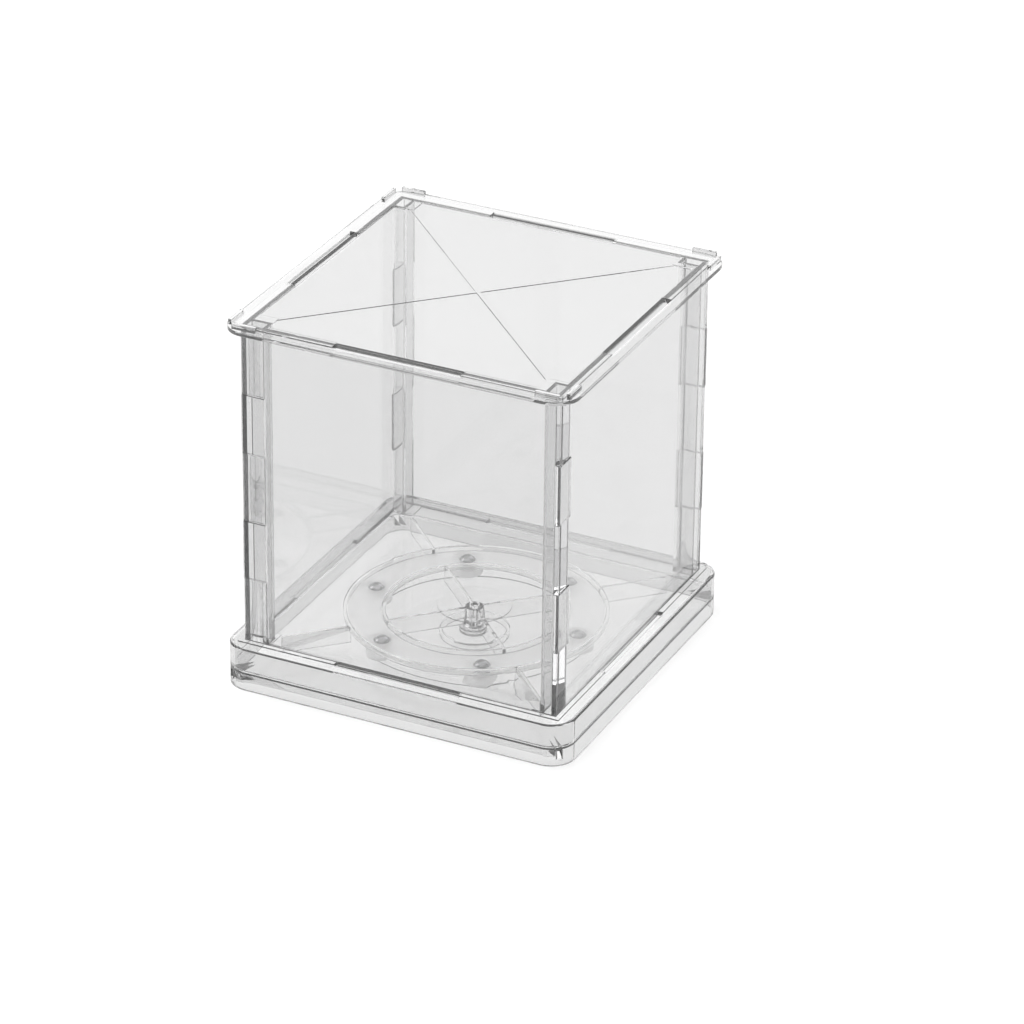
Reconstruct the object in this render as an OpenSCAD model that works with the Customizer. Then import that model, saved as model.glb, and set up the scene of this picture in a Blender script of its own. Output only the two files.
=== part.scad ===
// Clear display cube: a box of four interlocking panels with a lift-off lid, standing on a deck
// that turns on a low tray through a ring of six balls.
// Millimetres, +Z up. The origin is the middle of the tray's underside, on the surface it stands on.

/* [Tray] */
// Side of the square base, tray and deck alike
base_side = 200; // [176:1:240]
// Radius of the base's upright corners
base_corner_r = 14; // [8:0.5:16]
// Height of the tray, from the table to its top face
tray_h = 11; // [9:0.5:16]
// Thickness of the tray's top plate
tray_plate_t = 2; // [1.6:0.1:2.6]
// Thickness of the skirts round the tray and the deck
skirt_t = 2.4; // [1.8:0.1:3.2]
// Height of the flat race that the balls roll on
race_h = 0.5; // [0.3:0.1:0.8]
// Width of the race
race_w = 8; // [6:0.5:12]
// Width of the notch in each corner of the tray's skirt
notch_w = 3; // [2:0.25:5]
// Depth of that notch, from the tray's top face down
notch_h = 7.5; // [4:0.25:8]
// Outer diameter of the stiffening ring under the tray
tray_ring_d = 38; // [30:1:60]
// Wall thickness of that ring
tray_ring_t = 1.8; // [1.2:0.1:2.6]
// Depth of that ring, below the tray's plate
tray_ring_h = 4; // [2:0.5:6]
// Outer diameter of the collar round the tray's centre hole
collar_d = 16.4; // [15:0.1:20]
// Height of that collar
collar_h = 1; // [0.5:0.1:1.6]

/* [Deck] */
// Open seam between the tray and the deck above it
seam_gap = 0.3; // [0.2:0.05:0.5]
// Height of the deck, from its lower edge to its floor
deck_h = 13.2; // [12:0.2:15]
// Thickness of the deck's floor
floor_t = 2; // [1.6:0.1:2.6]
// Rounding of the deck's upper edge
edge_r = 1.2; // [0.6:0.1:1.8]
// Thickness of the diagonal ribs under the floor
deck_rib_t = 1.8; // [1.2:0.1:2.6]
// Clearance between the race and the diagonal ribs
hang_gap = 1.4; // [1.2:0.1:4]
// Diameter on which the balls run
race_d = 117.6; // [106:0.2:124]
// Width of the shallow circular trough under the floor that the ball cage turns in
trough_w = 18.8; // [16:0.2:22]
// Thickness of the trough's two walls
trough_wall_t = 1.8; // [1.2:0.1:2.4]
// Depth of the trough's two walls, below the floor
trough_h = 3; // [2:0.2:5]
// Diameter of the low round pad in the middle of the floor
hub_pad_d = 40; // [30:1:60]
// Height of that pad
hub_pad_h = 0.4; // [0.3:0.1:0.8]

/* [Centre bearing] */
// Outer diameter of the hub tube where it turns in the tray
hub_d = 12; // [11:0.1:13.5]
// Outer diameter of the hub tube under the floor
hub_top_d = 10; // [8:0.1:10.8]
// Bore of the hub tube, open into the display chamber
hub_bore_d = 3.8; // [3:0.1:5]
// Radial clearance of the hub tube in the tray
hub_fit = 0.08; // [0.02:0.01:0.1]
// Diameter of the retainer's flange
retainer_d = 16.4; // [15:0.1:20]
// Thickness of the retainer's flange
retainer_t = 1.4; // [1:0.1:2]
// Diameter of the retainer's boss inside the hub tube
retainer_boss_d = 7.4; // [6:0.1:8]
// Height of that boss
retainer_boss_h = 1.8; // [1:0.1:3]
// Length of the retainer's shank in the hub bore
retainer_shank_h = 4; // [2:0.5:6]
// Running gap between the retainer's flange and the tray
retainer_gap = 0.4; // [0.2:0.1:0.8]

/* [Ball ring] */
// Clearance of a ball above and below, between deck and tray
ball_gap = 0.2; // [0.1:0.05:0.3]
// Thickness of the cage's plate
cage_t = 1.6; // [1.2:0.1:2.2]
// Height of the cage's underside above the middle of the balls
cage_rise = 1.5; // [1:0.1:1.7]
// Clearance round each ball in its pocket
pocket_fit = 0.25; // [0.15:0.05:0.35]
// Gap between the cage and the trough's walls
cage_gap = 0.5; // [0.4:0.1:1.2]
// Outer diameter of the ball cups
cup_d = 17.2; // [14.6:0.2:18]
// Clearance of the ball cups above the race
cup_rise = 1.1; // [0.8:0.1:2]

/* [Panels] */
// Distance from the base's edge to the panels' outer faces
case_inset = 9.6; // [8:0.1:16]
// Height of the panels between the deck's floor and the lid
panel_h = 181.3; // [150:0.1:240]
// Thickness of the panels
panel_t = 2.4; // [1.8:0.1:3]
// Outside width of a corner column, along the panel that hooks round it
column_w = 9.2; // [8:0.1:13]
// Outside depth of a corner column, along the panel that is hooked
column_d = 13.5; // [8:0.1:13.9]
// Thickness of the flange that closes the column inside the case
flange_t = 1.8; // [1.2:0.1:2.4]
// Height of each of the two hooks at a panel's edge
hook_h = 33.6; // [20:0.2:40]
// Height of the first finger, under the lower hook
first_finger_h = 37.3; // [25:0.1:45]
// Width that a hook laps round onto the next panel
hook_w = 13; // [9:0.5:14]
// How far a hook stands proud of the next panel
hook_proud = 0.6; // [0.2:0.1:1]
// Clearance between interlocking panels
panel_fit = 0.1; // [0.05:0.01:0.2]
// Width of the tab at the middle of a panel's top and bottom edge
tab_w = 71.6; // [40:0.2:90]

/* [Raised channel] */
// Width of the raised band on the deck and the lid that frames the panels
band_w = 5.8; // [5:0.1:7]
// Height of the raised band
band_h = 0.6; // [0.4:0.1:1]
// Size of the square pads in the band's corners, measured inside the band
pad_w = 11.7; // [9:0.1:14]
// Distance from the band's inner edge to the inner face of the panels
band_inset = 0.5; // [0.3:0.1:0.8]
// Length that a slot is longer than its tab
slot_play = 0.8; // [0.4:0.1:1.6]
// Clearance between the band's groove and the panels
groove_fit = 0.2; // [0.1:0.05:0.25]

/* [Lid] */
// How far the lid reaches past the panels
lid_overhang = 8.4; // [7:0.1:12]
// Radius of the lid's corners
lid_corner_r = 13; // [9:0.5:16]
// Thickness of the lid's plate
lid_t = 2.2; // [1.8:0.1:3]
// Depth of the groove in the lid's underside
lid_groove_h = 0.8; // [0.4:0.1:1]
// Gap between the lid and the tops of the panels
lid_gap = 0.1; // [0.05:0.01:0.2]
// Width of the diagonal ribs on the lid
lid_rib_w = 2.4; // [1.6:0.1:4]
// Height of the diagonal ribs on the lid
lid_rib_h = 0.4; // [0.3:0.1:0.8]
// Length of each stacking lug
lug_l = 13.5; // [8:0.5:18]
// Thickness of each stacking lug
lug_t = 2; // [1.4:0.1:3]
// Height of each stacking lug
lug_h = 3; // [1.5:0.1:5]
// Distance from the lid's edge to the stacking lugs
lug_inset = 2.3; // [1.8:0.1:2.6]

/* [Hidden] */
$fn = 96;
ball_count = 6;
cut = 1;                                             // how far a cutter runs past a face
deck_z = tray_h + seam_gap;                          // lower edge of the deck
floor_z = deck_z + deck_h;                           // top face of the deck's floor
floor_under_z = floor_z - floor_t;                   // underside of the deck's floor
lid_z = floor_z + panel_h;                           // underside of the lid
case_half = base_side / 2 - case_inset;              // outer face of the panels
lid_side = 2 * (case_half + lid_overhang);
panel_in = case_half - panel_t;                      // inner face of the panels
column_x = case_half - column_w;                     // inner faces of the corner columns
column_y = case_half - column_d;
band_in = panel_in - band_inset;                     // inner edge of the raised band
band_out = band_in + band_w;                         // outer edge of the raised band
pad_in = band_in - pad_w;                            // inner edge of the corner pads
race_z = tray_h + race_h;                            // top of the ball race
ball_z = (race_z + floor_under_z) / 2;               // middle of the balls
ball_r = (floor_under_z - race_z) / 2 - ball_gap;    // radius of the balls
race_r = race_d / 2;                                 // radius on which the balls run
trough_in = race_r - trough_w / 2;                   // inside faces of the trough's walls
trough_out = race_r + trough_w / 2;
hub_bottom_z = tray_h - tray_plate_t - retainer_gap; // lower end of the hub tube
hub_bearing_z = tray_h + collar_h + seam_gap;        // top of the tube's bearing length
hub_mid_r = (hub_top_d + hub_bore_d) / 4;            // middle of the hub tube's wall
hang_z = race_z + hang_gap;                          // lower edge of what hangs under the floor
upper_hook_z = panel_h - first_finger_h - hook_h;
panel_top = panel_h + lid_groove_h - lid_gap;        // top edge of the panel, in the lid's groove

// A square with round corners, centred.
module round_square(side, r) {
    square([side, side - 2 * r], center = true);
    square([side - 2 * r, side], center = true);
    for (sx = [-1, 1], sy = [-1, 1]) {
        translate([sx * (side / 2 - r), sy * (side / 2 - r)]) circle(r = r);
    }
}

// A square frame between two half widths, from z = 0 up.
module square_frame(half_in, half_out, h) {
    difference() {
        translate([-half_out, -half_out, 0]) cube([2 * half_out, 2 * half_out, h]);
        translate([-half_in, -half_in, -cut]) cube([2 * half_in, 2 * half_in, h + 2 * cut]);
    }
}

// A flat ring from z = 0 up.
module ring(r_in, r_out, h) {
    difference() {
        cylinder(r = r_out, h = h);
        translate([0, 0, -cut]) cylinder(r = r_in, h = h + 2 * cut);
    }
}

// The hollow under a dish: inside the skirt and below the plate, from z = -cut up.
module dish_hollow(side, r, h, plate_t) {
    translate([0, 0, -cut])
        linear_extrude(h - plate_t + cut) round_square(side - 2 * skirt_t, r - skirt_t);
}

// The outline of a slab seen from one side, its two upper corners rounded by e.
module slab_section(half, h, e) {
    translate([-half, 0]) square([2 * half, h - e]);
    translate([e - half, 0]) square([2 * (half - e), h]);
    for (s = [-1, 1]) {
        translate([s * (half - e), h - e]) circle(r = e);
    }
}

// A square slab with round upright corners of radius r and an upper edge rounded by e.
module soft_slab(side, r, h, e) {
    for (a = [0, 90]) {
        rotate([90, 0, a]) linear_extrude(side - 2 * r, center = true)
            slab_section(side / 2, h, e);
    }
    for (a = [0 : 90 : 270]) {
        rotate([0, 0, a]) translate([side / 2 - r, side / 2 - r, 0])
            rotate_extrude() intersection() {
                slab_section(r, h, e);
                square([r, h]);
            }
    }
}

// The raised band with its four corner pads, from z = 0 up.
module raised_band() {
    square_frame(band_in, band_out, band_h);
    for (a = [0 : 90 : 270]) {
        rotate([0, 0, a]) translate([pad_in, pad_in, 0])
            cube([pad_w + band_w / 2, pad_w + band_w / 2, band_h]);
    }
}

// What the panels stand in: a groove for the sheets and a pocket for each column.
module panel_groove(h) {
    square_frame(panel_in - groove_fit, case_half + groove_fit, h);
    for (a = [0 : 90 : 270]) {
        rotate([0, 0, a]) translate([column_y - groove_fit, column_x - groove_fit, 0])
            cube([column_d + 2 * groove_fit, column_w + 2 * groove_fit, h]);
    }
}

// One slot at the middle of each side, as wide as the band.
module tab_slots(z_low, h) {
    for (a = [0 : 90 : 270]) {
        rotate([0, 0, a]) translate([-(tab_w + slot_play) / 2, -band_out, z_low])
            cube([tab_w + slot_play, band_w, h]);
    }
}

// Two ribs crossing on the diagonals between two radii, from z = 0 up.
module diagonal_ribs(r_in, r_out, w, h) {
    for (a = [45 : 90 : 315]) {
        rotate([0, 0, a]) translate([r_in, -w / 2, 0]) cube([r_out - r_in, w, h]);
    }
}

// The low tray that stands on the table: plate, skirt, race, collar and corner notches.
module base_tray() {
    color("gainsboro", 0.4) difference() {
        union() {
            difference() {
                linear_extrude(tray_h) round_square(base_side, base_corner_r);
                dish_hollow(base_side, base_corner_r, tray_h, tray_plate_t);
            }
            translate([0, 0, tray_h - tray_plate_t / 2])
                ring(race_r - race_w / 2, race_r + race_w / 2, tray_plate_t / 2 + race_h);
            translate([0, 0, tray_h - tray_plate_t / 2])
                cylinder(d = collar_d, h = tray_plate_t / 2 + collar_h);
            translate([0, 0, tray_h - tray_plate_t - tray_ring_h])
                ring(tray_ring_d / 2 - tray_ring_t, tray_ring_d / 2, tray_ring_h + tray_plate_t / 2);
        }
        translate([0, 0, -cut]) cylinder(d = hub_d + 2 * hub_fit, h = tray_h + collar_h + 2 * cut);
        for (a = [45 : 90 : 315]) {
            rotate([0, 0, a]) translate([(base_side / 2 - base_corner_r) * sqrt(2), -notch_w / 2,
                                         tray_h - notch_h])
                cube([base_corner_r + cut, notch_w, notch_h - tray_plate_t]);
        }
    }
}

// The turning deck: floor, skirt, ball trough, ribs, raised channel, slots and hub tube.
module base_deck() {
    hang_h = floor_z - floor_t / 2 - hang_z;
    wall_h = trough_h + floor_t / 2;
    color("gainsboro", 0.4) difference() {
        union() {
            translate([0, 0, deck_z]) difference() {
                soft_slab(base_side, base_corner_r, deck_h, edge_r);
                dish_hollow(base_side, base_corner_r, deck_h, floor_t);
            }
            translate([0, 0, floor_z]) raised_band();
            translate([0, 0, floor_z - floor_t / 2]) cylinder(d = hub_pad_d, h = floor_t / 2 + hub_pad_h);
            translate([0, 0, floor_under_z - trough_h]) {
                ring(trough_in - trough_wall_t, trough_in, wall_h);
                ring(trough_out, trough_out + trough_wall_t, wall_h);
            }
            translate([0, 0, hang_z]) {
                diagonal_ribs(hub_mid_r, trough_in - trough_wall_t / 2, deck_rib_t, hang_h);
                diagonal_ribs(trough_out + trough_wall_t / 2, pad_in * sqrt(2), deck_rib_t, hang_h);
            }
            translate([0, 0, hub_bottom_z])
                cylinder(d = hub_d, h = hub_bearing_z - hub_bottom_z);
            translate([0, 0, hub_bearing_z])
                cylinder(d1 = hub_d, d2 = hub_top_d, h = floor_z - floor_t / 2 - hub_bearing_z);
        }
        translate([0, 0, floor_z]) panel_groove(band_h + cut);
        tab_slots(floor_under_z - cut, floor_t + band_h + 2 * cut);
        translate([0, 0, hub_bottom_z - cut])
            cylinder(d = hub_bore_d, h = floor_z - hub_bottom_z + 2 * cut);
        translate([0, 0, hub_bottom_z - cut])
            cylinder(d = retainer_boss_d + 2 * hub_fit, h = retainer_boss_h + hub_fit + cut);
    }
}

// The clear rivet that keeps the hub tube in the tray.
module hub_retainer() {
    color("silver", 0.5) {
        translate([0, 0, hub_bottom_z - retainer_t]) cylinder(d = retainer_d, h = retainer_t);
        translate([0, 0, hub_bottom_z - retainer_t])
            cylinder(d = retainer_boss_d, h = retainer_t + retainer_boss_h);
        translate([0, 0, hub_bottom_z - retainer_t])
            cylinder(d = hub_bore_d - 2 * hub_fit, h = retainer_t + retainer_boss_h + retainer_shank_h);
    }
}

// The ring that spaces the balls: a flat plate with a round cup hanging round each ball.
// A cup is open below for its ball, and closes over the ball's upper half.
module ball_cage() {
    cup_z = race_z + cup_rise - ball_z;
    pocket_r = ball_r + pocket_fit;
    color("lightgray", 0.5) difference() {
        union() {
            translate([0, 0, ball_z + cage_rise])
                ring(trough_in + cage_gap, trough_out - cage_gap, cage_t);
            for (k = [1 : ball_count]) {
                ball_place(k) translate([0, 0, cup_z])
                    cylinder(d = cup_d, h = cage_rise + cage_t / 2 - cup_z);
            }
        }
        for (k = [1 : ball_count]) {
            ball_place(k) {
                sphere(r = pocket_r);
                translate([0, 0, cup_z - cut]) cylinder(r = pocket_r, h = cut - cup_z);
            }
        }
    }
}

// Puts something at the middle of ball k.
module ball_place(k) {
    rotate([0, 0, (k - 1) * 360 / ball_count]) translate([race_r, 0, ball_z]) children();
}

// One steel ball.
module bearing_ball(k) {
    color("silver") ball_place(k) sphere(r = ball_r);
}

// The flange that closes a corner column, at x from 0 to its thickness.
module column_flange(depth) {
    cube([flange_t, depth, panel_top]);
}

// One panel, standing at the front with its outer face towards -Y, from z = 0 up.
module panel() {
    difference() {
        union() {
            // the sheet, from the left corner to just short of the right-hand panel
            translate([-case_half, -case_half, 0])
                cube([case_half + panel_in - panel_fit, panel_t, panel_top]);
            // left flange, the whole depth of the column
            translate([-column_y - flange_t, -panel_in - panel_fit, 0])
                column_flange(panel_in + panel_fit - column_x);
            // right flange, stopping short of the left flange of the next panel
            translate([column_x, -panel_in - panel_fit, 0])
                column_flange(panel_in - column_y - flange_t);
            // bottom tab, as deep as the deck's floor
            translate([-tab_w / 2, -case_half, -floor_t])
                cube([tab_w, panel_t, floor_t + cut]);
            // top tab, flush with the lid's band
            translate([-tab_w / 2, -case_half, panel_h - cut])
                cube([tab_w, panel_t, lid_t + band_h + cut]);
            // hooks round the right-hand corner
            for (z = [first_finger_h, upper_hook_z]) {
                translate([panel_in - panel_fit - cut, -case_half, z])
                    cube([panel_t + panel_fit + hook_proud + cut, panel_t, hook_h]);
                translate([panel_in + panel_fit, -case_half, z])
                    cube([panel_t - panel_fit + hook_proud, hook_w, hook_h]);
            }
        }
        // gaps in the left edge for the hooks of the panel before
        for (z = [first_finger_h, upper_hook_z]) {
            translate([-case_half - cut, -case_half - cut, z - panel_fit])
                cube([hook_w + panel_fit + cut, panel_t + cut, hook_h + 2 * panel_fit]);
        }
    }
}

// One panel in its place on the deck, turned to its side.
module panel_at(angle) {
    color("gainsboro", 0.35) translate([0, 0, floor_z]) rotate([0, 0, angle]) panel();
}

// The lift-off lid: plate, raised channel, diagonal ribs, slots, groove and stacking lugs.
module lid() {
    lug_edge = lid_side / 2 - lug_inset;
    lug_start = lid_side / 2 - lid_corner_r / 2;
    color("gainsboro", 0.4) translate([0, 0, lid_z]) difference() {
        union() {
            linear_extrude(lid_t) round_square(lid_side, lid_corner_r);
            translate([0, 0, lid_t]) raised_band();
            translate([0, 0, lid_t / 2])
                diagonal_ribs(-lid_rib_w / 2, pad_in * sqrt(2) + lid_rib_w / 2, lid_rib_w,
                              lid_t / 2 + lid_rib_h);
            for (a = [0 : 90 : 270]) {
                rotate([0, 0, a]) {
                    translate([lug_edge - lug_t, lug_start - lug_l, lid_t / 2])
                        cube([lug_t, lug_l, lid_t / 2 + lug_h]);
                    translate([lug_start - lug_l, lug_edge - lug_t, lid_t / 2])
                        cube([lug_l, lug_t, lid_t / 2 + lug_h]);
                }
            }
        }
        translate([0, 0, -cut]) panel_groove(lid_groove_h + cut);
        tab_slots(-cut, lid_t + band_h + 2 * cut);
    }
}

base_tray();
base_deck();
hub_retainer();
ball_cage();
bearing_ball(1);  // bearing_ball_1
bearing_ball(2);  // bearing_ball_2
bearing_ball(3);  // bearing_ball_3
bearing_ball(4);  // bearing_ball_4
bearing_ball(5);  // bearing_ball_5
bearing_ball(6);  // bearing_ball_6
panel_at(0);  // panel_front
panel_at(90);  // panel_right
panel_at(180);  // panel_back
panel_at(270);  // panel_left
lid();
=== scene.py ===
"""Looks for the clear display cube: moulded acrylic on a turning base, in a plain white studio."""

import logging
import math
from dataclasses import dataclass, field
from enum import Enum

import bmesh
import bpy
import numpy as np
from mathutils import Matrix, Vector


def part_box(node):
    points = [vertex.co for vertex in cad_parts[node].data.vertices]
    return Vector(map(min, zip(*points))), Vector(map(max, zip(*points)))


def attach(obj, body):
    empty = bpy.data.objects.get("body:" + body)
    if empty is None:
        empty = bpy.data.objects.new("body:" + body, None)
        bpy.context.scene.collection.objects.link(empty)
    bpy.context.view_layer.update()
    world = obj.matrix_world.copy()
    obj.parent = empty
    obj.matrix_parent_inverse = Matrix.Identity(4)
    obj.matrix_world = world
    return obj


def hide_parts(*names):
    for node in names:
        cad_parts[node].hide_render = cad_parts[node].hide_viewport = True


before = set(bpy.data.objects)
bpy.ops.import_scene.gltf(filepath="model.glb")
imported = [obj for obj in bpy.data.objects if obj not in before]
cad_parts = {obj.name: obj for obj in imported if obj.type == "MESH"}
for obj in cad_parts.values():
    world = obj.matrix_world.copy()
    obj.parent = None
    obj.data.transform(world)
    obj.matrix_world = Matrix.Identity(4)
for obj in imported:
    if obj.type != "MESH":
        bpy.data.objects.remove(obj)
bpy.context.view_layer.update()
LOG = logging.getLogger("display_cube")
MM = 0.001

Triple = tuple[float, float, float]


class Side(Enum):
    """The case's four sides, each with a panel of its own."""

    FRONT = "front"
    RIGHT = "right"
    BACK = "back"
    LEFT = "left"


class Overlap(Enum):
    """What a rounding does where two edges lie closer together than it is wide."""

    SHRINK = True
    KEEP = False


class LampKind(Enum):
    """A broad light from far off, or a soft box close by."""

    BROAD = "SUN"
    SOFT_BOX = "AREA"


def grey(level: float) -> Triple:
    """A neutral colour, the same in red, green and blue."""
    return (level, level, level)


def link_object(name: str, data: bpy.types.ID) -> bpy.types.Object:
    """Makes an object of a mesh, a camera or a lamp and puts it into the scene.

    Args:
        name: The object's name.
        data: What it shows.

    Returns:
        The new object.
    """
    made = bpy.data.objects.new(name, data)
    bpy.context.scene.collection.objects.link(made)
    return made


def larger(
    tree: bpy.types.NodeTree, first: bpy.types.NodeSocket, second: bpy.types.NodeSocket
) -> bpy.types.NodeSocket:
    """The larger of two values.

    Args:
        tree: The node tree they are in.
        first: One value.
        second: The other value.

    Returns:
        The result's socket.
    """
    made = tree.nodes.new("ShaderNodeMath")
    made.operation = "MAXIMUM"
    tree.links.new(first, made.inputs[0])
    tree.links.new(second, made.inputs[1])
    return made.outputs[0]


def scaled(
    tree: bpy.types.NodeTree, value: bpy.types.NodeSocket, factor: float
) -> bpy.types.NodeSocket:
    """A value times a number.

    Args:
        tree: The node tree it is in.
        value: The value.
        factor: The number.

    Returns:
        The result's socket.
    """
    made = tree.nodes.new("ShaderNodeMath")
    made.operation = "MULTIPLY"
    made.inputs[1].default_value = factor
    tree.links.new(value, made.inputs[0])
    return made.outputs[0]


def mixed(
    tree: bpy.types.NodeTree,
    share: bpy.types.NodeSocket,
    first: bpy.types.Node,
    second: bpy.types.Node,
) -> bpy.types.Node:
    """Two shaders in one.

    Args:
        tree: The node tree they are in.
        share: How much of the second one is taken.
        first: The shader at a share of 0.
        second: The shader at a share of 1.

    Returns:
        The node that mixes them.
    """
    made = tree.nodes.new("ShaderNodeMixShader")
    tree.links.new(share, made.inputs[0])
    tree.links.new(first.outputs[0], made.inputs[1])
    tree.links.new(second.outputs[0], made.inputs[2])
    return made


def lay_faults(
    skin: bpy.types.Node,
    surface: bpy.types.NodeTree,
    values: dict[str, object],
    ripple: float,
    depth: float,
) -> None:
    """Places the shared surface group and feeds a shader's colour, roughness and normal from it.

    Args:
        skin: The Principled shader.
        surface: The shared group with the surface's small faults.
        values: What the group's inputs are set to, by name.
        ripple: How strongly the height shows, from 0 to 1.
        depth: The height's full depth in millimetres.
    """
    tree = skin.id_data
    faults = tree.nodes.new("ShaderNodeGroup")
    faults.node_tree = surface
    for name, value in values.items():
        faults.inputs[name].default_value = value
    coords = tree.nodes.new("ShaderNodeTexCoord")
    tree.links.new(coords.outputs["Object"], faults.inputs["Position"])
    tree.links.new(coords.outputs["Normal"], faults.inputs["Facing"])
    tree.links.new(faults.outputs["Color"], skin.inputs["Base Color"])
    tree.links.new(faults.outputs["Roughness"], skin.inputs["Roughness"])
    bump = tree.nodes.new("ShaderNodeBump")
    bump.inputs["Strength"].default_value = ripple
    bump.inputs["Distance"].default_value = depth * MM
    tree.links.new(faults.outputs["Height"], bump.inputs["Height"])
    tree.links.new(bump.outputs["Normal"], skin.inputs["Normal"])


@dataclass(frozen=True)
class ClearPlastic:
    """A polished clear moulding, greyer along long light paths through it.

    The side shade tint is painted shade: a grey on the upright faces that lie from side_from to
    side_to millimetres off the middle, which sets them lighter or darker than the other faces by
    their facing alone. Smudges, scratches and moulding ripple come from the shared surface group.
    """

    name: str
    tint: Triple
    # painted shade: the grey of upright faces in the band, set apart from the tint by facing alone
    side_shade_tint: Triple
    absorb: Triple
    density: float
    side_from: float = 0.0
    side_to: float = 200.0
    clearness: float = 0.975
    roughness: float = 0.006
    smudge: float = 0.03
    ripple: float = 0.05
    ripple_depth: float = 0.4
    scratch: float = 0.25
    shadow: float = 0.985
    scale: float = 60.0
    ior: float = 1.49

    def build(self, surface: bpy.types.NodeTree) -> bpy.types.Material:
        """Builds the material, which lets shadow and diffuse rays straight through.

        Args:
            surface: The shared group with the surface's small faults.

        Returns:
            The new material.
        """
        mat = bpy.data.materials.new(self.name)
        mat.use_nodes = True
        tree = mat.node_tree
        tree.nodes.clear()
        skin = tree.nodes.new("ShaderNodeBsdfPrincipled")
        skin.inputs["Transmission Weight"].default_value = self.clearness
        skin.inputs["IOR"].default_value = self.ior
        skin.inputs["Metallic"].default_value = 0.0
        values = {
            "Tint": (*self.tint, 1.0),
            # the painted shade's grey for upright faces in the band
            "Side Shade Tint": (*self.side_shade_tint, 1.0),
            "Side From": self.side_from * MM,
            "Side To": self.side_to * MM,
            "Polish": self.roughness,
            "Smudges": self.smudge,
            "Scratches": self.scratch,
            "Scale": self.scale,
        }
        lay_faults(skin, surface, values, self.ripple, self.ripple_depth)
        through = tree.nodes.new("ShaderNodeBsdfTransparent")
        through.inputs["Color"].default_value = (*grey(self.shadow), 1.0)
        path = tree.nodes.new("ShaderNodeLightPath")
        passing = larger(tree, path.outputs["Is Shadow Ray"], path.outputs["Is Diffuse Ray"])
        out = tree.nodes.new("ShaderNodeOutputMaterial")
        tree.links.new(mixed(tree, passing, skin, through).outputs[0], out.inputs["Surface"])
        depth = tree.nodes.new("ShaderNodeVolumeAbsorption")
        depth.inputs["Color"].default_value = (*self.absorb, 1.0)
        depth.inputs["Density"].default_value = self.density
        tree.links.new(depth.outputs[0], out.inputs["Volume"])
        return mat


@dataclass(frozen=True)
class PolishedSteel:
    """Bright bearing steel with a faint cloud in its polish."""

    name: str
    tone: Triple
    roughness: float = 0.05
    smudge: float = 0.3
    ripple: float = 0.02
    ripple_depth: float = 0.2
    scale: float = 200.0

    def build(self, surface: bpy.types.NodeTree) -> bpy.types.Material:
        """Builds the material.

        Args:
            surface: The shared group with the surface's small faults.

        Returns:
            The new material.
        """
        mat = bpy.data.materials.new(self.name)
        mat.use_nodes = True
        skin = mat.node_tree.nodes["Principled BSDF"]
        skin.inputs["Metallic"].default_value = 1.0
        values = {
            "Tint": (*self.tone, 1.0),
            "Side Shade Tint": (*self.tone, 1.0),
            "Polish": self.roughness,
            "Smudges": self.smudge,
            "Scratches": 0.0,
            "Scale": self.scale,
        }
        lay_faults(skin, surface, values, self.ripple, self.ripple_depth)
        return mat


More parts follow.
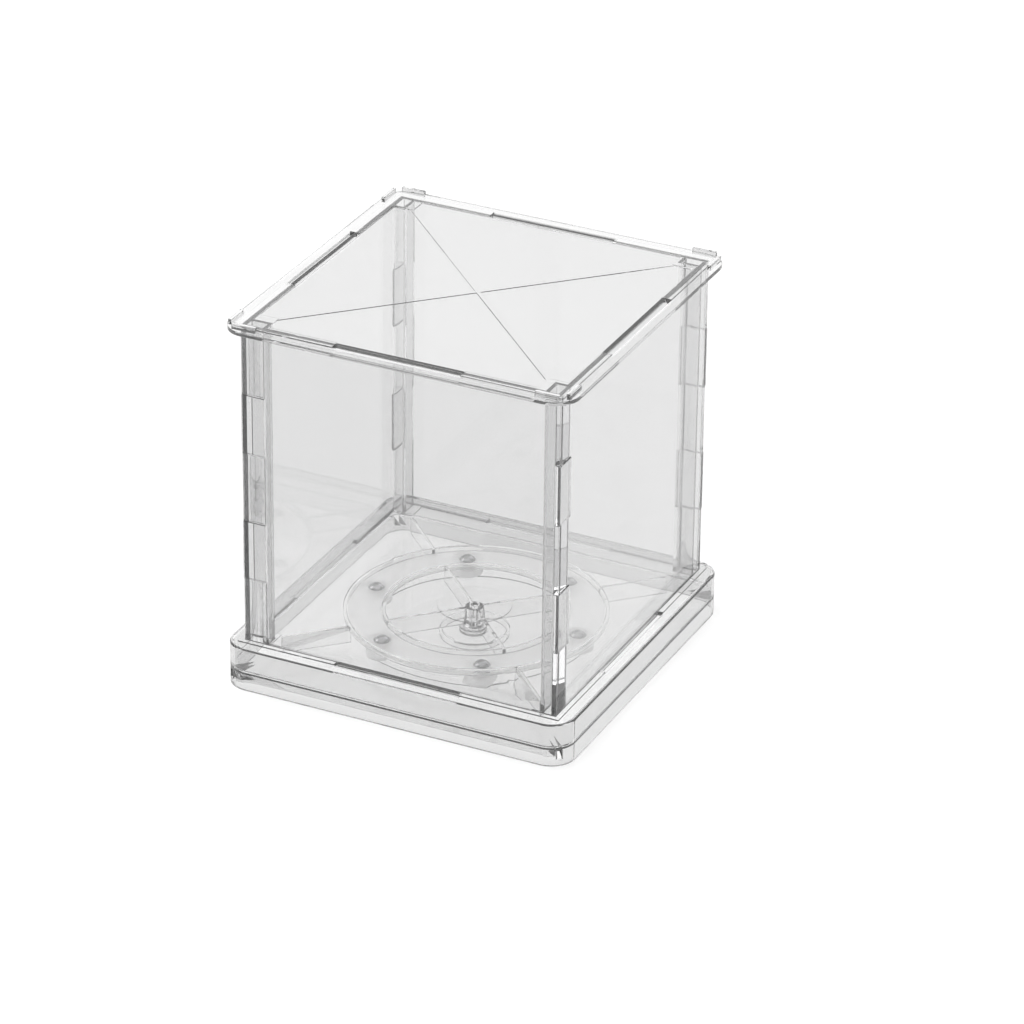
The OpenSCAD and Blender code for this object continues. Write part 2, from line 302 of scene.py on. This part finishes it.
@dataclass
class SurfaceGroup:
    """The shared node group with the small faults of a polished surface and its painted side shade.

    Each size below is a multiple of the group's Scale input, and the larger it is, the finer the
    pattern. A cloud's mean and an area's level cut a pattern whose values lie around one half.
    """

    cloud_size: float = 0.25
    cloud_detail: float = 3.0
    cloud_mean: float = 0.52
    bend_size: float = 1.4
    bend_detail: float = 2.0
    bend_middle: float = 0.5
    line_width: float = 0.0012
    area_size: float = 0.6
    area_detail: float = 1.0
    area_level: float = 0.62
    scratch_rough: float = 0.4
    scratch_dip: float = 0.2
    wave_size: float = 0.5
    wave_detail: float = 1.0
    fine_size: float = 3.0
    fine_detail: float = 2.0
    fine_share: float = 0.06
    veil_share: float = 0.2
    veil_tone: Triple = (0.8, 0.8, 0.79)
    tree: bpy.types.NodeTree = field(init=False)
    entry: bpy.types.Node = field(init=False)
    exit: bpy.types.Node = field(init=False)

    def __post_init__(self) -> None:
        """Starts the group and its sockets."""
        self.tree = bpy.data.node_groups.new("moulded_surface", "ShaderNodeTree")
        face = self.tree.interface
        for name, kind, value in (
            ("Position", "NodeSocketVector", None),
            ("Facing", "NodeSocketVector", None),
            ("Tint", "NodeSocketColor", (1.0, 1.0, 1.0, 1.0)),
            # the painted shade's grey, for upright faces in a band
            ("Side Shade Tint", "NodeSocketColor", (1.0, 1.0, 1.0, 1.0)),
            ("Side From", "NodeSocketFloat", 0.0),
            ("Side To", "NodeSocketFloat", 0.2),
            ("Polish", "NodeSocketFloat", 0.01),
            ("Smudges", "NodeSocketFloat", 0.05),
            ("Scratches", "NodeSocketFloat", 0.2),
            ("Scale", "NodeSocketFloat", 60.0),
        ):
            socket = face.new_socket(name, in_out="INPUT", socket_type=kind)
            if value is not None:
                socket.default_value = value
        face.new_socket("Color", in_out="OUTPUT", socket_type="NodeSocketColor")
        face.new_socket("Roughness", in_out="OUTPUT", socket_type="NodeSocketFloat")
        face.new_socket("Height", in_out="OUTPUT", socket_type="NodeSocketFloat")
        self.entry = self.tree.nodes.new("NodeGroupInput")
        self.exit = self.tree.nodes.new("NodeGroupOutput")

    def math(self, how: str, first: object, second: object = 0.0) -> bpy.types.NodeSocket:
        """Joins two values with one Math node.

        Args:
            how: The node's operation.
            first: A socket or a number.
            second: A socket or a number, left out where the operation takes one value.

        Returns:
            The result's socket.
        """
        made = self.tree.nodes.new("ShaderNodeMath")
        made.operation = how
        for place, value in enumerate((first, second)):
            if isinstance(value, bpy.types.NodeSocket):
                self.tree.links.new(value, made.inputs[place])
            else:
                made.inputs[place].default_value = value
        return made.outputs[0]

    def noise(self, size: float, detail: float) -> bpy.types.NodeSocket:
        """A noise pattern.

        Args:
            size: How fine it is, times the Scale input.
            detail: How many finer layers it has.

        Returns:
            The pattern's value socket.
        """
        made = self.tree.nodes.new("ShaderNodeTexNoise")
        self.tree.links.new(self.entry.outputs["Position"], made.inputs["Vector"])
        scale = self.math("MULTIPLY", self.entry.outputs["Scale"], size)
        self.tree.links.new(scale, made.inputs["Scale"])
        made.inputs["Detail"].default_value = detail
        return made.outputs["Fac"]

    def parts(self, vector: str) -> bpy.types.bpy_prop_collection:
        """Splits one of the group's vectors.

        Args:
            vector: The input's name.

        Returns:
            The X, Y and Z sockets.
        """
        made = self.tree.nodes.new("ShaderNodeSeparateXYZ")
        self.tree.links.new(self.entry.outputs[vector], made.inputs[0])
        return made.outputs

    def blend(
        self, share: bpy.types.NodeSocket, first: bpy.types.NodeSocket, second: object
    ) -> bpy.types.NodeSocket:
        """Blends two colours.

        Args:
            share: How much of the second one is taken.
            first: The colour socket at a share of 0.
            second: The colour at a share of 1, as a socket or as four numbers.

        Returns:
            The blended colour's socket.
        """
        made = self.tree.nodes.new("ShaderNodeMix")
        made.data_type = "RGBA"
        self.tree.links.new(share, made.inputs["Factor"])
        self.tree.links.new(first, made.inputs["A"])
        if isinstance(second, bpy.types.NodeSocket):
            self.tree.links.new(second, made.inputs["B"])
        else:
            made.inputs["B"].default_value = second
        return made.outputs["Result"]

    def clouds(self) -> bpy.types.NodeSocket:
        """Soft clouds: how far a slow pattern lies above its mean, and 0 below it."""
        above = self.math("SUBTRACT", self.noise(self.cloud_size, self.cloud_detail), self.cloud_mean)
        return self.math("MAXIMUM", above, 0.0)

    def scratches(self) -> bpy.types.NodeSocket:
        """Thin lines where one pattern passes its middle, kept only where another is high.

        Returns:
            The socket of a mask as strong as the Scratches input.
        """
        bend = self.noise(self.bend_size, self.bend_detail)
        line = self.math("ABSOLUTE", self.math("SUBTRACT", bend, self.bend_middle))
        thin = self.math("LESS_THAN", line, self.line_width)
        area = self.noise(self.area_size, self.area_detail)
        where = self.math("GREATER_THAN", area, self.area_level)
        mask = self.math("MULTIPLY", thin, where)
        return self.math("MULTIPLY", mask, self.entry.outputs["Scratches"])

    def roughness(
        self, cloud: bpy.types.NodeSocket, scratch: bpy.types.NodeSocket
    ) -> bpy.types.NodeSocket:
        """The polish, plus smudges where there are clouds, plus the scratches.

        Args:
            cloud: The clouds.
            scratch: The scratches' mask.

        Returns:
            The roughness socket.
        """
        smudge = self.math("MULTIPLY", cloud, self.entry.outputs["Smudges"])
        rough = self.math("ADD", self.entry.outputs["Polish"], smudge)
        return self.math("ADD", rough, self.math("MULTIPLY", scratch, self.scratch_rough))

    def height(self, scratch: bpy.types.NodeSocket) -> bpy.types.NodeSocket:
        """A slow wave of the moulding with a little fine grain, less the scratches' shallow dips.

        Args:
            scratch: The scratches' mask.

        Returns:
            The height socket.
        """
        wave = self.noise(self.wave_size, self.wave_detail)
        fine = self.noise(self.fine_size, self.fine_detail)
        swell = self.math("ADD", wave, self.math("MULTIPLY", fine, self.fine_share))
        return self.math("SUBTRACT", swell, self.math("MULTIPLY", scratch, self.scratch_dip))

    def colour(self, cloud: bpy.types.NodeSocket) -> bpy.types.NodeSocket:
        """The side shade tint or the plain tint, veiled a little where there are clouds.

        The side shade tint is painted shade. It is on upright faces whose distance from the middle,
        along X or Y, lies between Side From and Side To, and the plain tint is elsewhere.

        Args:
            cloud: The clouds.

        Returns:
            The colour socket.
        """
        # painted shade: upright faces in the band take the side shade tint, all other faces the plain
        # tint
        level = self.math("ABSOLUTE", self.parts("Facing")["Z"])
        place = self.parts("Position")
        across = self.math("ABSOLUTE", place["X"])
        along = self.math("ABSOLUTE", place["Y"])
        off_middle = self.math("MAXIMUM", across, along)
        inside = self.math("LESS_THAN", off_middle, self.entry.outputs["Side From"])
        outside = self.math("GREATER_THAN", off_middle, self.entry.outputs["Side To"])
        plain = self.math("MAXIMUM", self.math("MAXIMUM", level, inside), outside)
        # painted shade: the side shade tint where plain is 0
        tone = self.blend(plain, self.entry.outputs["Side Shade Tint"], self.entry.outputs["Tint"])
        veil = self.math("MULTIPLY", cloud, self.veil_share)
        return self.blend(veil, tone, (*self.veil_tone, 1.0))

    def build(self) -> bpy.types.NodeTree:
        """Wires the group's colour, roughness and height.

        Returns:
            The finished group.
        """
        cloud = self.clouds()
        scratch = self.scratches()
        self.tree.links.new(self.roughness(cloud, scratch), self.exit.inputs["Roughness"])
        self.tree.links.new(self.height(scratch), self.exit.inputs["Height"])
        self.tree.links.new(self.colour(cloud), self.exit.inputs["Color"])
        return self.tree


@dataclass
class Moulding:
    """Shared work of the sub-assemblies: a merged, rounded copy of a CAD node in its finish.

    The weld is in millimetres and the turns, between two neighbouring faces, are in degrees.
    """

    weld: float = 0.001
    flat_turn: float = 0.5
    rounded_turn: float = 35.0
    hard_turn: float = 25.0
    edge_steps: int = 2
    flat_weight: int = 100

    def welded(self, node: str) -> bpy.types.Mesh:
        """Copies a CAD node's mesh, with its points merged and its flat faces made whole.

        Outward edges that turn more than rounded_turn are marked for the rounding, and inner
        corners aren't, so those stay sharp.

        Args:
            node: The CAD node's name.

        Returns:
            The new mesh.
        """
        work = bmesh.new()
        work.from_mesh(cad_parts[node].data)
        bmesh.ops.remove_doubles(work, verts=work.verts, dist=self.weld * MM)
        flat = math.radians(self.flat_turn)
        bmesh.ops.dissolve_limit(work, angle_limit=flat, verts=work.verts, edges=work.edges)
        turn = [e.calc_face_angle_signed(0.0) if e.is_manifold else 0.0 for e in work.edges]
        outer = (np.array(turn) > math.radians(self.rounded_turn)).astype(np.float32)
        mesh = bpy.data.meshes.new(f"{node}_moulded")
        work.to_mesh(mesh)
        work.free()
        weight = mesh.attributes.new("bevel_weight_edge", "FLOAT", "EDGE")
        weight.data.foreach_set("value", outer)
        mesh.polygons.foreach_set("use_smooth", np.ones(len(mesh.polygons), bool))
        mesh.set_sharp_from_angle(angle=math.radians(self.hard_turn))
        return mesh

    def rounded(
        self, node: str, body: str, radius: float, overlap: Overlap = Overlap.SHRINK
    ) -> bpy.types.Object:
        """Makes a copy of a CAD node with its outer edges rounded, its inner ones left sharp.

        Args:
            node: The CAD node's name.
            body: The body that carries it.
            radius: The rounding's radius in millimetres.
            overlap: What the rounding does where two edges lie close together.

        Returns:
            The new object; the CAD node itself is hidden.
        """
        piece = link_object(f"{node}_moulded", self.welded(node))
        bevel = piece.modifiers.new("edge_rounding", "BEVEL")
        bevel.width = radius * MM
        bevel.segments = self.edge_steps
        bevel.limit_method = "WEIGHT"
        bevel.harden_normals = False
        bevel.use_clamp_overlap = overlap.value
        flat = piece.modifiers.new("flat_faces", "WEIGHTED_NORMAL")
        flat.mode = "FACE_AREA"
        flat.weight = self.flat_weight
        flat.keep_sharp = True
        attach(piece, body)
        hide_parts(node)
        return piece

    def dress(self, piece: bpy.types.Object, finish: bpy.types.Material, slot: str) -> None:
        """Gives a piece its finish.

        Args:
            piece: The object.
            finish: Its material.
            slot: The record's material slot it belongs to. It is not used.
        """
        piece.data.materials.clear()
        piece.data.materials.append(finish)
        LOG.info("%s: %d faces, %s", piece.name, len(piece.data.polygons), finish.name)


@dataclass
class Base(Moulding):
    """The standing tray and the turning deck above it, with the rivet that joins them.

    The tray's corner notches would shrink its rounding to nothing, so it keeps its full width.
    The deck's is just narrow enough to leave every one of its edges room.
    """

    tray_edge: float = 0.22
    deck_edge: float = 0.14
    rivet_edge: float = 0.2
    tray: bpy.types.Object | None = None
    deck: bpy.types.Object | None = None
    rivet: bpy.types.Object | None = None

    def build(self) -> None:
        """Makes the rounded tray, deck and rivet."""
        self.tray = self.rounded("base_tray", "base", self.tray_edge, Overlap.KEEP)
        self.deck = self.rounded("base_deck", "case", self.deck_edge)
        self.rivet = self.rounded("hub_retainer", "case", self.rivet_edge)

    def finish(self, body: bpy.types.Material, rivet: bpy.types.Material) -> None:
        """Dresses the three pieces.

        Args:
            body: The tray's and the deck's finish.
            rivet: The rivet's finish.
        """
        self.dress(self.tray, body, "clear_base")
        self.dress(self.deck, body, "clear_base")
        self.dress(self.rivet, rivet, "clear_rivet")


@dataclass
class BallRing(Moulding):
    """The cage with its cups and the six balls in them."""

    count: int = 6
    cage_edge: float = 0.2
    rings: int = 48
    cage: bpy.types.Object | None = None
    balls: list[bpy.types.Object] = field(default_factory=list)

    def ball(self, number: int) -> bpy.types.Object:
        """One smooth ball, its size and place read from its CAD solid.

        A point is the middle plus the radius times (sin u cos v, sin u sin v, cos u),
        with u from pole to pole and v once round.

        Args:
            number: Which ball, from 1.

        Returns:
            The new object.
        """
        node = f"bearing_ball_{number}"
        low, high = (np.array(corner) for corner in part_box(node))
        middle, radius = (low + high) / 2, float((high - low)[2]) / 2
        u = np.linspace(0.0, math.pi, self.rings + 1)[1:-1]
        v = np.linspace(0.0, 2 * math.pi, 2 * self.rings, endpoint=False)
        grid_u, grid_v = np.meshgrid(u, v, indexing="ij")
        skin = np.stack(
            (np.sin(grid_u) * np.cos(grid_v), np.sin(grid_u) * np.sin(grid_v), np.cos(grid_u)), -1
        ).reshape(-1, 3)
        points = middle + radius * np.vstack((skin, [[0.0, 0.0, 1.0], [0.0, 0.0, -1.0]]))
        rows, cols = len(u), len(v)
        i, j = np.meshgrid(np.arange(rows - 1), np.arange(cols), indexing="ij")
        k = (j + 1) % cols
        quads = np.stack((i * cols + j, (i + 1) * cols + j, (i + 1) * cols + k, i * cols + k), -1)
        around = np.arange(cols)
        after = (around + 1) % cols
        top = np.stack((np.full(cols, rows * cols), around, after), -1)
        last = (rows - 1) * cols
        bottom = np.stack((np.full(cols, rows * cols + 1), last + after, last + around), -1)
        mesh = bpy.data.meshes.new(f"{node}_polished")
        faces = quads.reshape(-1, 4).tolist() + top.tolist() + bottom.tolist()
        mesh.from_pydata(points.tolist(), [], faces)
        mesh.polygons.foreach_set("use_smooth", np.ones(len(mesh.polygons), bool))
        piece = link_object(f"{node}_polished", mesh)
        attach(piece, f"ball_{number}")
        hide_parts(node)
        return piece

    def build(self) -> None:
        """Makes the cage and its balls."""
        self.cage = self.rounded("ball_cage", "cage", self.cage_edge)
        self.balls = [self.ball(number) for number in range(1, self.count + 1)]

    def finish(self, cage: bpy.types.Material, ball: bpy.types.Material) -> None:
        """Dresses the cage and the balls.

        Args:
            cage: The cage's finish.
            ball: The balls' finish.
        """
        self.dress(self.cage, cage, "clear_cage")
        for piece in self.balls:
            self.dress(piece, ball, "steel_ball")


@dataclass
class Case(Moulding):
    """The four panels that hook into one another, and the lid that lifts off them."""

    panel_edge: float = 0.35
    lid_edge: float = 0.35
    panels: list[bpy.types.Object] = field(default_factory=list)
    lid: bpy.types.Object | None = None

    def build(self) -> None:
        """Makes the rounded panels and lid."""
        self.panels = [self.rounded(f"panel_{side.value}", "case", self.panel_edge) for side in Side]
        self.lid = self.rounded("lid", "lid", self.lid_edge)

    def finish(self, sheet: bpy.types.Material, top: bpy.types.Material) -> None:
        """Dresses the panels and the lid.

        Args:
            sheet: The panels' finish.
            top: The lid's finish.
        """
        for piece in self.panels:
            self.dress(piece, sheet, "clear_panel")
        self.dress(self.lid, top, "clear_panel")


@dataclass(frozen=True)
class Lamp:
    """One lamp, aimed at the object's middle. A broad one lights but isn't mirrored.

    The power is in watts for a soft box and in watts per square metre for a broad lamp, and the
    size is in metres or, for a broad lamp, in radians.
    """

    name: str
    kind: LampKind
    power: float
    size: float
    place: Triple
    aim: Triple = (0.0, 0.0, 0.1)

    def build(self) -> None:
        """Puts the lamp into the room, its own Z axis pointing away from what it lights."""
        data = bpy.data.lights.new(self.name, self.kind.value)
        data.energy = self.power
        boxed = self.kind is LampKind.SOFT_BOX
        if boxed:
            data.size = self.size
        else:
            data.angle = self.size
        lamp = link_object(self.name, data)
        lamp.visible_glossy = boxed
        lamp.visible_transmission = boxed
        back = np.array(self.place) - np.array(self.aim)
        back /= np.linalg.norm(back)
        side = np.cross((0.0, 0.0, 1.0), back)
        side /= np.linalg.norm(side)
        axes = np.stack((side, np.cross(back, side), back), 1)
        pose = Matrix(axes.tolist()).to_4x4()
        pose.translation = self.place
        lamp.matrix_world = pose


@dataclass
class Studio:
    """The plain white room: camera, floor, lamps and the light around.

    The camera's values are the photograph's, fitted: its focal length in pixels of a frame
    frame_px wide, its distance in millimetres, its angles in degrees, and the point it aims at,
    aim_z up the object's axis and then aim_right and aim_up across the picture, in millimetres.
    The floor's values are in metres. The sky holds pairs of a height, as the sine of the angle
    above the horizon, and a grey.
    """

    focal_px: float = 5234.47
    distance: float = 2758.45
    azimuth: float = 25.6
    elevation: float = 27.5
    roll: float = 0.66
    aim_right: float = 18.9
    aim_up: float = -9.6
    aim_z: float = 91.0
    frame_px: float = 1024.0
    sensor: float = 36.0
    sight: float = 50.0
    floor_reach: float = 9.0
    floor_corners: int = 96
    floor_drop: float = 0.0001
    floor_tone: float = 0.94
    share_plain: float = 0.6
    share_through: float = 0.8
    white: float = 1.0
    fill: float = 0.76
    sky: tuple[tuple[float, float], ...] = (
        (0.10, 1.0), (0.24, 0.75), (0.47, 0.72), (0.54, 0.1), (0.78, 0.1), (0.86, 0.8), (1.0, 0.85),
    )
    lamps: tuple[Lamp, ...] = (
        Lamp("overhead", LampKind.BROAD, 1.7, 0.9, (-0.6, 0.2, 2.0)),
        Lamp("box_left", LampKind.SOFT_BOX, 9.0, 1.0, (-1.6, -0.4, 1.5)),
        Lamp("box_back", LampKind.SOFT_BOX, 7.0, 1.2, (0.4, 1.8, 1.7)),
    )

    def camera(self) -> None:
        """Places the camera as the photograph's was, from the fitted angles and distance."""
        a, e, r = (math.radians(x) for x in (self.azimuth, self.elevation, self.roll))
        back = np.array((math.cos(e) * math.sin(a), -math.cos(e) * math.cos(a), math.sin(e)))
        right = np.cross(-back, (0.0, 0.0, 1.0))
        right /= np.linalg.norm(right)
        up = np.cross(right, -back)
        spot = self.aim_right * right + self.aim_up * up + back * self.distance
        spot = (spot + np.array((0.0, 0.0, self.aim_z))) * MM
        side = math.cos(r) * right + math.sin(r) * up
        top = -math.sin(r) * right + math.cos(r) * up
        data = bpy.data.cameras.new("camera")
        data.sensor_fit = "HORIZONTAL"
        data.sensor_width = self.sensor
        data.lens = self.focal_px * self.sensor / self.frame_px
        data.clip_end = self.sight
        eye = link_object("camera", data)
        axes = np.stack((side, top, back), 1)
        place = Matrix(axes.tolist()).to_4x4()
        place.translation = spot.tolist()
        eye.matrix_world = place
        bpy.context.scene.camera = eye

    def floor_paint(self) -> bpy.types.Material:
        """A white that is partly lit and partly the background's own white.

        The camera sees share_plain of the background's white, glossy and transmission rays
        share_through of it, and other rays see only the lit part.

        Returns:
            The new material.
        """
        mat = bpy.data.materials.new("white_floor")
        mat.use_nodes = True
        tree = mat.node_tree
        tree.nodes.clear()
        out = tree.nodes.new("ShaderNodeOutputMaterial")
        lit = tree.nodes.new("ShaderNodeBsdfDiffuse")
        lit.inputs["Color"].default_value = (*grey(self.floor_tone), 1.0)
        own = tree.nodes.new("ShaderNodeEmission")
        own.inputs["Strength"].default_value = self.white
        path = tree.nodes.new("ShaderNodeLightPath")
        through = larger(tree, path.outputs["Is Glossy Ray"], path.outputs["Is Transmission Ray"])
        deep = scaled(tree, through, self.share_through)
        plain = scaled(tree, path.outputs["Is Camera Ray"], self.share_plain)
        mix = mixed(tree, larger(tree, deep, plain), lit, own)
        tree.links.new(mix.outputs[0], out.inputs["Surface"])
        return mat

    def floor(self) -> None:
        """A wide disc just under the object.

        A point is the reach times (cos v, sin v), v once round, in the plane of the floor.
        """
        v = np.linspace(0.0, 2 * math.pi, self.floor_corners, endpoint=False)
        drop = np.full(self.floor_corners, -self.floor_drop)
        points = np.stack((self.floor_reach * np.cos(v), self.floor_reach * np.sin(v), drop), -1)
        mesh = bpy.data.meshes.new("floor")
        mesh.from_pydata(points.tolist(), [], [list(range(self.floor_corners))])
        mesh.materials.append(self.floor_paint())
        link_object("floor", mesh)

    def room(self) -> None:
        """The light around: white for the camera and low down, with a dark ring high up for gloss."""
        world = bpy.data.worlds.new("room")
        bpy.context.scene.world = world
        world.use_nodes = True
        tree = world.node_tree
        tree.nodes.clear()
        out = tree.nodes.new("ShaderNodeOutputWorld")
        coords = tree.nodes.new("ShaderNodeTexCoord")
        split = tree.nodes.new("ShaderNodeSeparateXYZ")
        tree.links.new(coords.outputs["Generated"], split.inputs[0])
        ramp = tree.nodes.new("ShaderNodeValToRGB")
        tree.links.new(split.outputs["Z"], ramp.inputs["Fac"])
        marks = ramp.color_ramp.elements
        marks[0].position, marks[1].position = self.sky[0][0], self.sky[-1][0]
        for place, _ in self.sky[1:-1]:
            marks.new(place)
        for mark, (_, level) in zip(marks, self.sky):
            mark.color = (*grey(level), 1.0)
        around = tree.nodes.new("ShaderNodeBackground")
        tree.links.new(ramp.outputs["Color"], around.inputs["Color"])
        fill = tree.nodes.new("ShaderNodeBackground")
        fill.inputs["Strength"].default_value = self.fill
        plain = tree.nodes.new("ShaderNodeBackground")
        plain.inputs["Strength"].default_value = self.white
        path = tree.nodes.new("ShaderNodeLightPath")
        soft = mixed(tree, path.outputs["Is Diffuse Ray"], around, fill)
        seen = mixed(tree, path.outputs["Is Camera Ray"], soft, plain)
        tree.links.new(seen.outputs[0], out.inputs["Surface"])

    def build(self) -> None:
        """Sets the room up, the camera first."""
        self.camera()
        self.floor()
        self.room()
        for lamp in self.lamps:
            lamp.build()
        bpy.context.scene.view_settings.view_transform = "Standard"


def main() -> None:
    """Builds the room and each sub-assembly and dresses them."""
    logging.basicConfig(level=logging.INFO, format="%(name)s: %(message)s")
    Studio().build()
    surface = SurfaceGroup().build()
    pale = (0.55, 0.55, 0.56)
    # The first grey of each finish is the plastic's tint; the second is painted shade on its upright
    # faces.
    sheet = ClearPlastic(
        "panel_acrylic", grey(0.78), (0.85, 0.85, 0.851), pale, density=3.0, side_from=87.9
    )
    top = ClearPlastic(
        "lid_acrylic", grey(0.995), grey(0.58), pale, density=3.0, side_from=80.0, side_to=95.0
    )
    body = ClearPlastic("base_acrylic", grey(0.985), grey(0.73), pale, density=3.0, side_from=90.0)
    frosted = ClearPlastic(
        "frosted_cage", grey(1.0), grey(1.0), pale, density=1.0, clearness=0.8, roughness=0.42
    )
    rivet = ClearPlastic("rivet_acrylic", grey(0.93), grey(0.85), pale, density=10.0)
    steel = PolishedSteel("bearing_steel", (0.6, 0.6, 0.61))
    base, ring, case = Base(), BallRing(), Case()
    base.build()
    base.finish(body.build(surface), rivet.build(surface))
    ring.build()
    ring.finish(frosted.build(surface), steel.build(surface))
    case.build()
    case.finish(sheet.build(surface), top.build(surface))


if __name__ == "__main__":
    main()
